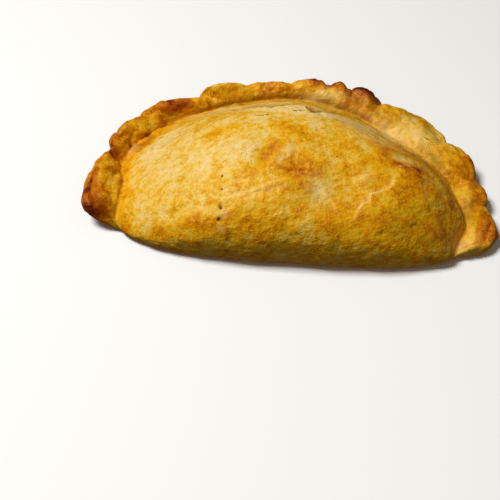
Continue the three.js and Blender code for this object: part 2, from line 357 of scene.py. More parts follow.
# Gutter and fillet along the seam, and the heights between which the relief sets in above the floor
SEAM_GUTTER = dict(width=1.4, depth=0.6)
SEAM_FILLET = dict(passes=60, step=0.5, full=2.1, reach=7.0)
FLOOR_FADE = (0.2, 3.0)

# Shares of the way out and up over which the roll and the dome come to carry marks of their own
ROLL_START = (0.0, 0.2)
DOME_START = (0.0, 0.1)

# Ragged edges of what is drawn on the skin: seed of the noise, then its size and reach, coarse and fine
RAGGED_SEED = 1
RAGGED = dict(coarse=(11.0, 2.2), fine=(3.5, 0.9))

# The upper skin faces at least so far upwards, and a line on it reaches so far up and down
UPPER_FACING = 0.05
LINE_LEVEL = 25

# Creases across the pleated edge: turn in degrees, half width, depth, and how far out they start
CREASES = (
    (-5, 1.2, 0.5, 0.4),
    (7, 1.2, 1.1, 0.1),
    (24, 1.3, 0.5, 0.5),
    (52, 1.2, 0.5, 0.6),
    (66, 1.0, 0.8, 0.7),
    (76, 1.0, 0.8, 0.7),
    (97, 1.0, 0.4, 0.7),
    (137, 1.4, 1.4, 0.2),
    (147, 1.2, 0.7, 0.6),
    (156, 1.5, 1.8, 0.1),
    (165, 1.2, 1.0, 0.4),
    (173, 1.6, 1.8, 0.1),
    (184, 1.2, 0.8, 0.5),
)
CREASE_RUN_IN = (-0.1, 0.2)

# Open layers of dough behind the top of the dome: the line in plan behind which they show, how far behind it
# they start and fade, the turns between which they do, and the relief of their flakes, which lie along X
LAYERS_EDGE = ((-47, 52), (-35, 46), (-22, 40), (3, 37), (25, 34), (42, 35), (52, 39), (62, 53))
LAYERS = dict(start=(-2, 3), fade=(12, 26), turns=(16, 30, 138, 156))
LAYERS_FLAKES = dict(size=(13, 3.5, 3.5), amount=0.45, layers=3)

# Torn edge of the top sheet of dough behind the dome: its line in plan, how far it stands above what lies
# behind it, where that starts and comes up again, and the turns between which it is torn
TORN_LINE = (
    (-50, 62), (-38, 57), (-31.5, 53.5), (-29.5, 48.5), (-27.5, 48.5), (-26, 52), (-19, 49.5), (-12.6, 47),
    (-5.3, 47.5), (3.5, 49), (5.3, 45), (7.2, 41.5), (12, 42.5), (18.5, 46.5), (24.5, 51), (30.5, 55),
    (40, 64),
)
TORN = dict(depth=1.3, start=(-0.3, 0.7), back=(2.5, 11), turns=(44, 54, 138, 150))

# The ledge behind the dome is frayed: size of the frays, and their height as a share of its rise
LEDGE_FRAY = dict(size=8.0, amount=0.9, layers=3)

# Knuckles, knobs and dents: place, half length and half width, turn of the length in degrees, height
BUMPS = (
    (-63, 70, 9.0, 3.6, 12, 1.2),
    (-71, 68, 5.0, 3.0, 25, 1.8),
    (-77, 63, 3.2, 2.4, 40, -1.4),
    (-78.5, 53.5, 7.5, 5.4, 45, 4.4),
    (-86, 51, 6.5, 3.0, 52, 1.8),
    (-83.6, 44.6, 2.4, 2.0, 45, -2.6),
    (-81, 40, 3.6, 3.0, 60, 2.2),
    (-88.4, 31, 4.6, 4.6, 0, -2.8),
    (-94, 30, 5.0, 2.4, 80, 1.2),
    (-93, 17, 4.2, 2.6, 10, 1.9),
    (-87.5, 19, 4.2, 2.4, -10, 2.2),
    (-83, 15, 2.4, 5.5, 0, 2.0),
    (-88, 9, 3.6, 4.6, 0, -1.6),
    (-84, 2, 2.2, 5.0, 10, -1.2),
    (-96, 4, 4.0, 5.0, 0, 1.0),
    (6, 87, 3.0, 2.4, 0, 1.0),
    (11.5, 87.5, 2.2, 2.0, 0, 1.0),
    (20, 86.5, 3.2, 2.2, -8, 0.9),
    (30, 86, 4.5, 2.4, -15, 1.0),
    (46.6, 67.5, 2.4, 1.6, -20, -1.0),
    (88, 54, 5.0, 2.6, -65, 1.2),
    (83, 38.5, 4.5, 1.6, -40, -1.2),
    (94, 31, 6.0, 2.6, -75, 1.0),
    (96, 4, 5.5, 4.0, 60, 1.6),
    (91.5, 5, 4.5, 1.3, 65, -1.1),
    (93, -3, 3.5, 1.2, 20, -0.8),
    (15, -8, 9.0, 5.0, -50, -1.2),
    (-17, -9.5, 17, 2.4, 12, -1.0),
    (4, 3, 8.0, 6.0, 0, -0.8),
    (-12.5, 8.5, 4.0, 8.0, -25, -0.9),
    (-25, 11, 13, 8.0, 15, 0.9),
    (-4, 26, 8.0, 5.0, 0, 0.5),
    (-48, 2, 14, 9.0, 0, 0.6),
    (47, -8, 13, 9.0, 25, 0.9),
    (57, 14, 12, 3.2, 38, 0.35),
    (54, 21.5, 5.0, 3.0, 35, -0.7),
    (66, 4, 6.0, 8.0, 0, 0.5),
)

# Lifted flakes: the points along their edge, how far they lift on the right of it, and how pale the edge is
FLAKES = (
    (((32.8, -11.3), (33.9, -9.2), (37, -8.1), (37.8, -4), (41, -3.1), (46.8, 0.4), (48, 3.8)), 0.9, 0.75),
    (((29.8, 1.4), (33, 3.4), (37.5, 5)), 0.5, 0.5),
    (
        ((-33, -10.8), (-27, -10.8), (-21.3, -9.8), (-16, -8.7), (-11.6, -7.1), (-6, -5), (-1.7, -3.7)),
        0.9,
        0.45,
    ),
    (((51, 12), (55, 14.6), (59, 16)), 0.4, 0.5),
    (((24, -16), (21, -10), (15, -4), (9, -3)), 0.5, 0.0),
    (((-48, 18), (-42, 16), (-36, 17)), 0.4, 0.0),
    (((64, 11), (60, 6), (64, 0)), 0.4, 0.3),
)

# How far the lift fades behind the edge, the share of its reach where it is whole, and half widths of the
# step at the edge and of the pale line along it
FLAKE_FADE = 6.0
FLAKE_FULL = 0.7
FLAKE_EDGE = 0.5
FLAKE_LINE = 0.4

# Cracks: the points along them, half width and depth
CRACKS = (
    (((-19, 36.5), (-15.5, 35.8), (-12, 36.6)), 0.25, 0.3),
    (((-0.5, 40.6), (4.5, 41.4)), 0.34, 0.5),
    (((66.5, 62.2), (68, 61.4), (69.3, 61.2)), 0.28, 0.4),
)

# Prick holes through the top of the crust: places and half width
PRICKS = (
    (-30.8, -0.8, 0.55),
    (-30.3, -6.9, 0.60),
    (-30, -14.9, 0.80),
    (-30.5, -18.7, 0.85),
    (21.4, 11.7, 0.45),
)
PRICK_DEPTH = 1.3


def noise_at(places, size, amount, layers):
    """Noise of about this amount up and down at places in millimetres, with bumps of about this size."""
    scaled = (places / np.array(size)).tolist()
    return amount * np.array([noise.fractal(place, NOISE_FALL, NOISE_STEP, layers) for place in scaled])


def warp(places, size, reach):
    """Places moved by smooth noise, so that what is drawn at them gets ragged edges."""
    moved = np.array([noise.noise_vector(place) for place in (places / size).tolist()])
    return places + reach * moved


class Crust:
    """The fine skin: its places, and what is drawn on them by place."""

    def __init__(self, form):
        self.form = form
        self.shape = form.places.shape[:2]
        self.places = form.places.reshape(-1, 3)
        self.normals = form.normals().reshape(-1, 3)
        self.turn = self.spread(form.turn)
        self.across = self.spread(form.across)
        self.climb = self.spread(form.climb)
        self.edge = self.spread(form.edge)
        self.roll = self.edge * smoothstep(self.across, *ROLL_START)
        self.dome = smoothstep(self.climb, *DOME_START)
        self.ragged = warp(warp(self.places, *RAGGED["coarse"]), *RAGGED["fine"])
        self.upper = np.where(self.normals[:, 2] > UPPER_FACING)[0]

    def spread(self, values):
        return np.broadcast_to(values, self.shape).reshape(-1).astype(float)

    def surface_index(self, x, y):
        """The vertex on the upper skin nearest to x, y."""
        away = self.places[self.upper, :2] - (x, y)
        return self.upper[np.argmin((away ** 2).sum(1))]

    def surface(self, x, y):
        return self.places[self.surface_index(x, y)]

    def spot(self, x, y, length, width, turn=0):
        """1 at a place, falling off to its half length and half width along the skin."""
        away = self.ragged - self.surface(x, y)
        c, s = math.cos(math.radians(turn)), math.sin(math.radians(turn))
        along = c * away[:, 0] + s * away[:, 1]
        aside = c * away[:, 1] - s * away[:, 0]
        return np.exp(-(along / length) ** 2 - (aside ** 2 + away[:, 2] ** 2) / width ** 2)

    def line(self, points, ragged=True):
        """Distance in plan to a line, with its side: positive on the left."""
        flat = (self.ragged if ragged else self.places)[:, :2]
        nearest = np.full(len(flat), np.inf)
        side = np.ones(len(flat))
        for start, end in zip(points, points[1:]):
            start, end = np.array(start, float), np.array(end, float)
            run = end - start
            share = np.clip(((flat - start) @ run) / (run @ run), 0, 1)
            away = flat - start - share[:, None] * run
            distance = np.linalg.norm(away, axis=1)
            closer = distance < nearest
            nearest[closer] = distance[closer]
            side[closer] = np.sign(run[0] * away[closer, 1] - run[1] * away[closer, 0])
        return nearest * side

    def pleat_creases(self):
        """Depth of the creases between the pleats."""
        leaning = self.turn + PLEAT_LEAN * (1 - self.across)
        radius = np.linalg.norm(self.places[:, :2] - (0, MIDDLE_FROM_TIPS), axis=1)
        depth = np.zeros(len(self.places))
        for turn, width, deep, inner in CREASES:
            away = np.radians(leaning - turn) * radius
            groove = np.exp(-(away / width) ** 2) * smoothstep(self.across - inner, *CREASE_RUN_IN)
            depth = np.maximum(depth, deep * groove)
        return depth * self.roll

    def seam_near(self, width):
        """1 along the seam between the dome and the pleated edge, falling off to this width."""
        distance = self.form.from_seam().reshape(-1)
        return np.exp(-(distance / width) ** 2) * self.edge

    def open_layers(self):
        """1 where open layers of dough show, in a band behind the top of the dome."""
        behind = self.line(LAYERS_EDGE)
        band = smoothstep(behind, *LAYERS["start"]) * (1 - smoothstep(behind, *LAYERS["fade"]))
        return band * between(self.turn, LAYERS["turns"]) * self.dome

    def torn_away(self):
        """1 just behind the torn edge of the top sheet, fading away from it."""
        behind = self.line(TORN_LINE)
        gone = smoothstep(behind, *TORN["start"]) * (1 - smoothstep(behind, *TORN["back"]))
        return gone * between(self.turn, TORN["turns"]) * self.dome

    def noise(self, bumps):
        return noise_at(self.places, **bumps)

    def wrinkles(self):
        ridges = WRINKLE_LEVEL - np.abs(self.noise(WRINKLES))
        return ridges * (WRINKLE_HEIGHT["dome"] * self.dome + WRINKLE_HEIGHT["roll"] * self.roll)

    def relief(self):
        """Height of the relief over the smooth skin, in millimetres."""
        height = self.noise(LUMPS) + self.noise(BLISTERS) + self.wrinkles()
        height += (self.noise(ROLL_LUMPS) + self.noise(ROLL_KNOBS)) * self.roll
        height += self.noise(LAYERS_FLAKES) * self.open_layers()
        height += self.noise(LEDGE_FRAY) * ledge_rise(self.turn, self.climb)
        height -= TORN["depth"] * self.torn_away()
        height -= self.pleat_creases()
        height -= SEAM_GUTTER["depth"] * self.seam_near(SEAM_GUTTER["width"])
        for x, y, length, width, turn, rise in BUMPS:
            height += rise * self.spot(x, y, length, width, turn)
        for points, rise, pale in FLAKES:
            height += rise * self.lifted(points)
        for points, width, depth in CRACKS:
            height -= depth * np.exp(-(self.line(points, False) / width) ** 2) * self.near(points)
        for x, y, width in PRICKS:
            height -= PRICK_DEPTH * self.spot(x, y, width, width)
        return height * smoothstep(self.places[:, 2], *FLOOR_FADE)

    def lifted(self, points):
        """1 on the lifted side of a flake's edge, fading away from it."""
        distance = -self.line(points, False)
        middle = np.mean(points, 0)
        reach = max(np.linalg.norm(np.array(point) - middle) for point in points) + FLAKE_FADE
        away = np.linalg.norm(self.places[:, :2] - middle, axis=1)
        fade = np.exp(-np.abs(distance) / FLAKE_FADE) * (1 - smoothstep(away, FLAKE_FULL * reach, reach))
        return fade * smoothstep(distance, -FLAKE_EDGE, FLAKE_EDGE) * self.near(points)

    def near(self, points):
        """1 on the upper skin at about the level of a line, 0 below the rim and the belly."""
        middle = np.mean(points, 0)
        level = self.surface(*middle)[2]
        return (self.normals[:, 2] > 0) * np.exp(-((self.places[:, 2] - level) / LINE_LEVEL) ** 2)

    def raised(self):
        places = self.places + self.normals * self.relief()[:, None]
        places[:, 2] = places[:, 2].clip(0)
        return places


# Browning of the crust, from 0 for pale dough over gold and orange to 1 for dark brown
DOME_BROWNING = 0.40
BASE_BROWNING = 0.62
BASE_FACING = (0.2, 0.9)

# Uneven browning all over, and more of it on the roll: size in millimetres, amount, and layers of noise
UNEVEN = dict(size=9.0, amount=0.07, layers=3)
ROLL_UNEVEN = dict(size=3.0, amount=0.10, layers=2)

# The outer face of the pleated edge at the back is at least this brown, by how far it faces backwards
BACK_BROWNING = 0.54
BACK_FACE = (0.62, 0.86)

# Along the pleated edge: turn in degrees, browning of the rim, of the face towards the dome, and of the
# seam, then where that face goes over into the rim, and how the seam's browning spreads
# Partly painted shade: the seam's browning and the browner face towards the dome at the back
EDGE_BROWNING_AND_SHADE = (
    (-34, 0.36, 0.30, 0.40),
    (-24, 0.36, 0.26, 0.42),
    (-18, 0.64, 0.38, 0.48),
    (-11, 0.66, 0.48, 0.50),
    (-5, 0.50, 0.42, 0.44),
    (1, 0.62, 0.46, 0.46),
    (6, 0.66, 0.46, 0.50),
    (12, 0.56, 0.40, 0.44),
    (18, 0.46, 0.37, 0.40),
    # Paler rim here, partly painted light
    (25, 0.31, 0.34, 0.40),
    (40, 0.42, 0.40, 0.42),
    (50, 0.49, 0.44, 0.46),
    (55, 0.80, 0.64, 0.56),
    (62, 0.84, 0.60, 0.54),
    (67, 0.78, 0.38, 0.50),
    (71, 0.82, 0.30, 0.46),
    (76, 0.76, 0.26, 0.44),
    (82, 0.80, 0.30, 0.46),
    (88, 0.54, 0.40, 0.52),
    (96, 0.46, 0.56, 0.56),
    (103, 0.52, 0.62, 0.58),
    (112, 0.48, 0.58, 0.57),
    (120, 0.38, 0.47, 0.53),
    (133, 0.36, 0.42, 0.50),
    (139, 0.52, 0.50, 0.50),
    (144, 0.69, 0.64, 0.52),
    (150, 0.69, 0.58, 0.50),
    (156, 0.60, 0.52, 0.48),
    (163, 0.66, 0.38, 0.46),
    (170, 0.66, 0.52, 0.46),
    (176, 0.64, 0.52, 0.42),
    (184, 0.60, 0.50, 0.40),
    (191, 0.64, 0.35, 0.42),
    (197, 0.78, 0.58, 0.46),
    (206, 0.74, 0.54, 0.46),
)
INNER_FACE = (0.25, 0.75)
SEAM_BROWNING_AND_SHADE = dict(width=3.4, on_edge=0.85, on_dome=0.25)

# Painted shade: browning behind the torn edge, then dull gold on the ledge and along the seam
TORN_PAINTED_SHADE = 0.08
LEDGE_SHADE = 0.7
SEAM_PAINTED_SHADE = dict(turns=(30, 60, 128, 150), width=3.6)

# Patches on the crust: place, half length and half width, turn, and how much browner or paler
BROWNING_AND_SHADE_PATCHES = (
    (-56, 15, 34, 22, 10, -0.23),
    (-66, -9, 14, 8, 0, -0.10),
    (-25, 11, 17, 11, 15, -0.14),
    (-37, 25.5, 9, 4, 18, 0.30),
    (-12.5, 8.5, 4.2, 8.5, -25, 0.34),
    (-19.5, 11, 5, 6, 0, -0.16),
    (-34, -4, 6, 4, 0, 0.12),
    (7, -5, 4, 4, 0, 0.12),
    (-3.7, 25.8, 7, 4.5, 0, 0.13),
    (-14, 33.5, 18, 4.5, 0, -0.22),
    (12, 29, 6, 6, 0, -0.20),
    (3.5, 2.5, 9, 7, 0, 0.20),
    (13, 2.8, 3, 2.5, 0, 0.08),
    (14.5, -6, 7, 5, -60, -0.20),
    (20, -13.5, 5, 6, 0, 0.16),
    (-18, -18, 14, 7, 0, 0.09),
    (-27.5, -9, 6, 4, 10, -0.16),
    (12, 14, 6, 5, 0, -0.12),
    (44, 22, 5, 6, 0, 0.28),
    (51, 12.3, 6, 1.8, 4, 0.36),
    (59, 14.4, 8, 2.4, 20, 0.48),
    (59, 9.5, 7, 2.4, 12, 0.24),
    # Browner along the dome's right edge and low on its right, down to (64, 7.5): painted shade
    (76, 15, 13, 3.5, -65, 0.18),
    (66, 30, 12, 5, -65, 0.24),
    (55, 33, 14, 7, -40, 0.16),
    (71, -9, 12, 7, 40, 0.17),
    (64, 7.5, 7, 5, 0, 0.16),
    (55, 3.5, 6, 4.5, 0, 0.16),
    (43.5, 0.5, 5, 4, 0, 0.12),
    (47, -8, 13, 9, 25, 0.08),
    (26, 16, 22, 15, 0, 0.02),
    (40, -18, 26, 7, 0, 0.08),
    (-66, 36, 16, 10, 30, -0.28),
    (-74.5, 45.6, 9, 4, 50, 0.26),
    (-80, 38, 7, 4, 65, 0.20),
    (-82.5, 22, 4, 8, 0, 0.18),
    (-80, 4, 4, 9, 0, 0.20),
    (-40, -19, 13, 4, 0, 0.18),
    (-60, -16.6, 3, 4, 0, 0.24),
    (-76, -11, 3, 4, 0, 0.26),
    (-34.6, 5, 2.5, 1.0, -10, 0.30),
    (-60, -1, 7, 5, 0, 0.10),
    (-62, 70.5, 6.5, 3.2, 15, 0.20),
    (-88.4, 31, 4.6, 4.0, 60, 0.40),
    (-77, 51, 5.0, 4.0, 45, 0.10),
    (-88, 18, 7.0, 1.6, 10, 0.30),
    (-97, 11, 2.6, 6.0, 0, 0.26),
    (-92, -4, 6.0, 4.0, 0, 0.26),
    (-84, 2, 4.0, 6.0, 10, -0.10),
    (8, 87, 5.0, 2.6, 0, 0.20),
    (16.5, 86.6, 5.0, 2.6, 0, 0.20),
    (34, 85.5, 6.0, 2.4, -15, 0.18),
    (90, 52, 6.0, 2.6, -65, 0.10),
    (96, 3, 5, 4, 60, 0.12),
)

# Pale, open layers of dough: place, half length and half width, turn, strength
DOUGH_PATCHES = (
    (14.5, -6, 6, 4.5, -60, 0.75),
    (53.5, 18.2, 6, 2.0, 14, 0.80),
    (34, 2, 4, 2, 25, 0.30),
    (0.3, 12.6, 3.0, 2.6, 0, 0.75),
    (-3.4, 7.2, 1.8, 3.0, 0, 0.60),
    (14, 2, 2.5, 3.0, 0, 0.18),
    (-17, -9, 17, 1.8, 12, 0.55),
    (-29, -17.4, 3.5, 1.4, 0, 0.75),
    (-29, -21, 2.5, 1.4, 0, 0.55),
    (82, -6, 9, 7, 30, 0.36),
    (84, 24, 4, 9, 0, 0.12),
    (32, 41, 14, 9, -38, 0.75),
    (48, 66, 16, 3.5, -35, 0.70),
    (62, 63, 11, 4, -42, 0.60),
    (14, 81.5, 9, 3, -3, 0.55),
    (-81, 40, 3.2, 3.0, 0, 0.45),
)
LAYERS_DOUGH = 0.85

# Patches of painted shade in dull gold: place, half length and half width, turn, strength
PAINTED_SHADE_PATCHES = (
    (33, 79, 8, 3.5, -15, 0.70),
    (43, 73.5, 9, 4, -30, 0.55),
    (51, 70, 6, 4, -40, 0.25),
    (72.5, 46.5, 10, 4, -60, 0.85),
    (65, 54, 6, 3, -50, 0.60),
    (-64, 66, 7, 3, 40, 0.85),
    (-74.5, 46, 7, 4, 50, 0.35),
    (79, 36, 6, 3, -75, 0.60),
    (87, 12.6, 4, 7, 0, 0.70),
    (69.5, -14.5, 9, 7, 0, 0.70),
    (50, -13, 12, 6, 0, 0.22),
)

# How far from the edge of a lifted flake pale dough is bared, in millimetres, and where that starts
FLAKE_DOUGH = 0.6
FLAKE_BARED = (-0.5, 0.2)


def crust_browning_and_shade(crust):
    turns, *levels = np.array(EDGE_BROWNING_AND_SHADE).T
    outside, inside, seam = [np.interp(crust.turn, turns, level) for level in levels]
    edge = lerp(inside, outside, smoothstep(crust.across, *INNER_FACE))
    underneath = smoothstep(-crust.normals[:, 2], *BASE_FACING)
    browning = lerp(DOME_BROWNING, edge, crust.roll)
    strength = lerp(SEAM_BROWNING_AND_SHADE["on_edge"], SEAM_BROWNING_AND_SHADE["on_dome"], crust.dome)
    # Browner along the seam: partly painted shade in the crease
    browning = lerp(browning, seam, strength * crust.seam_near(SEAM_BROWNING_AND_SHADE["width"]))
    for x, y, length, width, turn, amount in BROWNING_AND_SHADE_PATCHES:
        browning += amount * crust.spot(x, y, length, width, turn)
    # Browner just behind the torn edge: painted shade
    browning += TORN_PAINTED_SHADE * crust.torn_away()
    behind = smoothstep(crust.normals[:, 1], *BACK_FACE) * crust.roll
    browning = lerp(browning, np.maximum(browning, BACK_BROWNING), behind)
    browning += crust.noise(UNEVEN) + crust.noise(ROLL_UNEVEN) * crust.roll
    return lerp(browning, BASE_BROWNING, underneath).clip(0, 1)


def crust_dough(crust):
    dough = LAYERS_DOUGH * crust.open_layers() * (1 - crust.torn_away())
    for x, y, length, width, turn, amount in DOUGH_PATCHES:
        dough = np.maximum(dough, amount * crust.spot(x, y, length, width, turn))
    for points, rise, pale in FLAKES:
        distance = crust.line(points, False)
        bared = np.exp(-np.abs(distance) / FLAKE_DOUGH) * smoothstep(distance, *FLAKE_BARED)
        dough = np.maximum(dough, pale * bared * crust.near(points))
    return dough.clip(0, 1)


def crust_shade(crust):
    """Painted shade in dull, dark gold: deep in the seam, on the ledge, behind the torn edge and in patches.
    """
    outside_dome = crust.climb <= 0
    shade = between(crust.turn, SEAM_PAINTED_SHADE["turns"]) * crust.seam_near(SEAM_PAINTED_SHADE["width"]) * outside_dome
    ledge = LEDGE_SHADE * ledge_rise(crust.turn, crust.climb) / LEDGE["rise"]
    shade = np.maximum(shade, np.maximum(ledge, crust.torn_away()))
    for x, y, length, width, turn, amount in PAINTED_SHADE_PATCHES:
        shade = np.maximum(shade, amount * crust.spot(x, y, length, width, turn))
    return shade


def crust_marks(crust, places):
    """Fine marks as lines in metres on the raised crust, with half widths: pits and cracks in painted shade,
    and pale edges.
    """

    def on_crust(points):
        return [Vector(places[crust.surface_index(x, y)]) for x, y in points]

    shaded_pits = [(on_crust([(x, y)]), width) for x, y, width in PRICKS]
    shaded_pits += [(on_crust(points), width) for points, width, depth in CRACKS]
    edges = [(on_crust(points), FLAKE_LINE * pale) for points, rise, pale in FLAKES if pale > 0]
    return shaded_pits, edges


def crust_mesh(crust, places):
    """A closed mesh, with its two poles as single points."""
    rows, rings = crust.shape
    grid = np.arange(rows * rings).reshape(rows, rings)
    grid[:, 0] = grid[0, 0]
    grid[:, -1] = grid[0, -1]
    used, index = np.unique(grid, return_inverse=True)
    grid = index.reshape(rows, rings)
    after = np.roll(grid, -1, 0)
    quads = np.stack([grid[:, :-1], after[:, :-1], after[:, 1:], grid[:, 1:]], 2)
    faces = quads[:, 1:-1].reshape(-1, 4).tolist()
    faces += quads[:, 0][:, [0, 2, 3]].tolist()
    faces += quads[:, -1][:, [0, 1, 2]].tolist()
    mesh = bpy.data.meshes.new("pie_crust")
    mesh.from_pydata(places[used].tolist(), [], faces)
    mesh.polygons.foreach_set("use_smooth", np.ones(len(mesh.polygons), bool))
    masks = dict(browning=crust_browning_and_shade(crust), dough=crust_dough(crust), shade=crust_shade(crust))
    for name, values in masks.items():
        mask = mesh.attributes.new(name, "FLOAT", "POINT")
        mask.data.foreach_set("value", values[used].astype(np.float32))
    mesh.update()
    return mesh


class Value:
    """A number, colour or vector of a finish. Arithmetic on numbers adds Math nodes."""

    def __init__(self, finish, socket):
        self.finish = finish
        self.socket = socket

    def math(self, operation, *others, clamp=False):
        settings = dict(operation=operation, use_clamp=clamp)
        return self.finish.node("ShaderNodeMath", settings, dict(enumerate(others)))

    def __add__(self, other):
        return self.math("ADD", self, other)

    def __radd__(self, other):
        return self.math("ADD", other, self)

    def __sub__(self, other):
        return self.math("SUBTRACT", self, other)

    def __rsub__(self, other):
        return self.math("SUBTRACT", other, self)

    def __mul__(self, other):
        return self.math("MULTIPLY", self, other)

    def __rmul__(self, other):
        return self.math("MULTIPLY", other, self)

    def clamped(self):
        return self.math("ADD", self, 0.0, clamp=True)


class Finish:
    """The nodes of one material."""

    def __init__(self, name):
        self.material = bpy.data.materials.new(name)
        self.material.use_nodes = True
        self.nodes = self.material.node_tree.nodes
        self.links = self.material.node_tree.links
        self.shader = self.nodes["Principled BSDF"]

    def node(self, kind, settings=None, sockets=None, output=0):
        node = self.nodes.new(kind)
        for name, value in (settings or {}).items():
            if name == "stops":
                self.set_stops(node.color_ramp, value)
            else:
                setattr(node, name, value)
        for name, value in (sockets or {}).items():
            self.feed(node.inputs[name], value)
        return Value(self, node.outputs[output])

    def set_stops(self, ramp, stops):
        while len(ramp.elements) < len(stops):
            ramp.elements.new(1.0)
        for element, (position, colour) in zip(ramp.elements, stops):
            element.position = position
            element.color = (*colour, 1.0)

    def feed(self, socket, value):
        if isinstance(value, Value):
            self.links.new(value.socket, socket)
        else:
            socket.default_value = value

    def set(self, **sockets):
        for name, value in sockets.items():
            self.feed(self.shader.inputs[name.replace("_", " ")], value)

    def mask(self, name):
        return self.node("ShaderNodeAttribute", dict(attribute_name=name), output="Fac")

    def place(self):
        return self.node("ShaderNodeTexCoord", output="Object")

    def noise(self, size, detail, stretch=1, turn=0):
        """Noise of about -1 to 1, of this size in millimetres, stretched along a turn in degrees."""
        grid = {"Vector": self.place(), "Scale": (size * MM * stretch, size * MM, size * MM)}
        grid["Rotation"] = (0, 0, math.radians(turn))
        mapped = self.node("ShaderNodeMapping", dict(vector_type="TEXTURE"), grid)
        found = self.node("ShaderNodeTexNoise", None, {"Vector": mapped, "Scale": 1.0, "Detail": detail})
        return found * 2 - 1

    def patches(self, size, sharpness, detail):
        """Patches of this size in millimetres with crisp edges, from -1 to 1."""
        return (self.noise(size, detail) * sharpness + 0.5).clamped() * 2 - 1

    def cracks(self, size, width):
        """1 along wandering cracks round patches of this size, of this half width, in millimetres."""
        scale = (1 / (size * MM),) * 3
        mapped = self.node("ShaderNodeMapping", None, {"Vector": self.place(), "Scale": scale})
        wander = {"Vector": mapped, **CRACK_WANDER}
        astray = self.node("ShaderNodeTexNoise", None, wander, output="Color")
        cells = {"Vector": self.vector("ADD", mapped, astray), "Scale": 1.0}
        away = self.node("ShaderNodeTexVoronoi", dict(feature="DISTANCE_TO_EDGE"), cells)
        return (1 - away * (size / width)).clamped()

    def vector(self, operation, *others, output=0):
        return self.node("ShaderNodeVectorMath", dict(operation=operation), dict(enumerate(others)), output)

    def distance(self, start, end):
        """Distance in metres to the line between two places."""
        run = end - start
        away = self.vector("SUBTRACT", self.place(), start)
        share = (self.vector("DOT_PRODUCT", away, run, output="Value") * (1 / run.length_squared)).clamped()
        nearest = self.node("ShaderNodeVectorMath", dict(operation="SCALE"), {0: run, "Scale": share})
        return self.vector("DISTANCE", away, nearest, output="Value")

    def drawn(self, lines, ragged):
        """1 along lines in metres with their half widths in millimetres, 0 away from them."""
        drawn = None
        for points, width in lines:
            ends = points if len(points) > 1 else [points[0], points[0] + Vector((0, 0, width * MM))]
            for start, end in zip(ends, ends[1:]):
                stroke = (STROKE_END - self.distance(start, end) * (1 / (width * MM)) + ragged).clamped()
                drawn = stroke if drawn is None else drawn.math("MAXIMUM", drawn, stroke)
        return drawn

    def mix(self, share, low, high):
        settings = dict(data_type="RGBA")
        sockets = {"Factor": share, 6: low, 7: high}
        return self.node("ShaderNodeMix", settings, sockets, output=2)


def linear(red, green, blue):
    """A colour as seen on screen, from 0 to 255, as light."""
    shares_seen = [value / 255 for value in (red, green, blue)]
    return tuple(v / 12.92 if v <= 0.04045 else ((v + 0.055) / 1.055) ** 2.4 for v in shares_seen)


# Colours of the crust by its browning and painted shade, and of the marks on it
BROWNING_STOPS = (
    (0.00, linear(238, 208, 142)),
    (0.24, linear(233, 192, 92)),
    (0.36, linear(230, 174, 18)),
    (0.50, linear(222, 150, 2)),
    (0.62, linear(200, 120, 2)),
    (0.76, linear(172, 84, 2)),
    (0.88, linear(124, 42, 2)),
    (1.00, linear(58, 18, 3)),
)
DOUGH_COLOUR = (*linear(236, 208, 136), 1.0)
# Pale flecks, partly painted glints on the glaze
FLECK_AND_GLINT_COLOUR = (*linear(246, 204, 96), 1.0)
EDGE_COLOUR = (*linear(244, 212, 128), 1.0)
CRUMB_COLOUR = (*linear(190, 126, 36), 1.0)
# Dull dark gold of the painted shade
PAINTED_SHADE_COLOUR = (*linear(122, 78, 6), 1.0)
# Painted shade in prick holes and cracks
PIT_SHADE_COLOUR = (*linear(104, 58, 12), 1.0)

# How far each mark covers the colour under it, and how many half widths from its middle a line ends
COVER = dict(fleck_and_glint=0.85, crumb=0.55, crackle=0.7, shade=0.74, edge=0.8)
STROKE_END = 1.5

# Noise in the finish, in millimetres, and its cracks, which wander by noise of their own
BLOTCH = dict(size=7.0, sharpness=1.5, detail=5.0)
MOTTLE = dict(size=2.8, sharpness=1.6, detail=3.0)
STREAK = dict(size=2.1, detail=3.0, stretch=2.2, turn=24)
SPECKLE = dict(size=1.2, detail=2.0)
GRAIN = dict(size=0.5, detail=2.0)
CRACKLE = dict(size=5.0, width=0.4)
CRACK_WANDER = dict(Scale=1.6, Detail=4.0)

# What is made of the browning and the noise: how much of each is in it, and the level to which that is added
CHANGE = dict(blotch=0.11, mottle=0.10, streak=0.24, speckle=0.26, grain=0.20)
CHANGE_SHARE = dict(browning=-1.0, level=1.35)
PALEST_CHANGE = dict(browning=0.30, level=-0.24)
FLECKS_AND_GLINTS = dict(streak=5.0, speckle=6.0, level=-2.4)
GOLDEN = dict(browning=-3.4, level=2.0)
CRUMBS = dict(grain=4.0, speckle=-4.0, level=-0.9)
CRACKED = dict(streak=3.0, blotch=0.5)
PALE = dict(browning=-2.2, level=1.3)
FLAKY = dict(speckle=0.9, streak=0.7, level=0.8)
EDGES_RAGGED = dict(streak=2.2, speckle=2.2, level=-0.7)
PITS_RAGGED = dict(speckle=0.8)
ROUGHNESS = dict(speckle=0.10, level=0.42)
BUMP_HEIGHT = dict(blotch=0.3, mottle=0.2, streak=0.6, speckle=0.5)

BUMP = dict(Strength=0.6, Distance=0.5 * MM)
DOUGH_ROUGHER = 0.25
SHEEN = 0.3
SHEEN_TINT = (1.0, 0.76, 0.32, 1.0)


